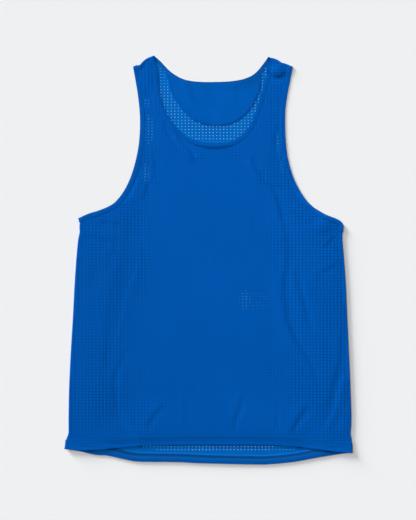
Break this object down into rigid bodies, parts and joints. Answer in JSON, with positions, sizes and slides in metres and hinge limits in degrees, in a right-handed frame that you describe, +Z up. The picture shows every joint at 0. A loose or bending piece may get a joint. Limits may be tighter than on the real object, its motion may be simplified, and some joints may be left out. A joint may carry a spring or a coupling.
{
  "type": "running singlet laid flat",
  "caption": "Sleeveless running singlet laid flat, front up: two perforated panels, scooped bound neck, bound armholes, half-moon neck facing and a longer curved back hem.",
  "frame": {"origin": "middle of the laid garment's outline, on the surface that it lies on", "axes": "+Z up off the surface, +Y from the hem towards the shoulders, +X to the right as seen from above"},
  "size_m": [0.512, 0.7282, 0.0061],
  "materials": {
    "perforated_cloth": "matte woven polyester, punched with a square net of small round holes",
    "plain_cloth": "matte plain woven polyester",
    "binding_cloth": "matte folded self-cloth binding, topstitched"
  },
  "bodies": {
    "root": {"back_panel": "perforated_cloth", "front_panel": "perforated_cloth", "back_neck_facing": "plain_cloth", "neck_binding": "binding_cloth", "armhole_binding_left": "binding_cloth", "armhole_binding_right": "binding_cloth"}
  },
  "joints": []
}
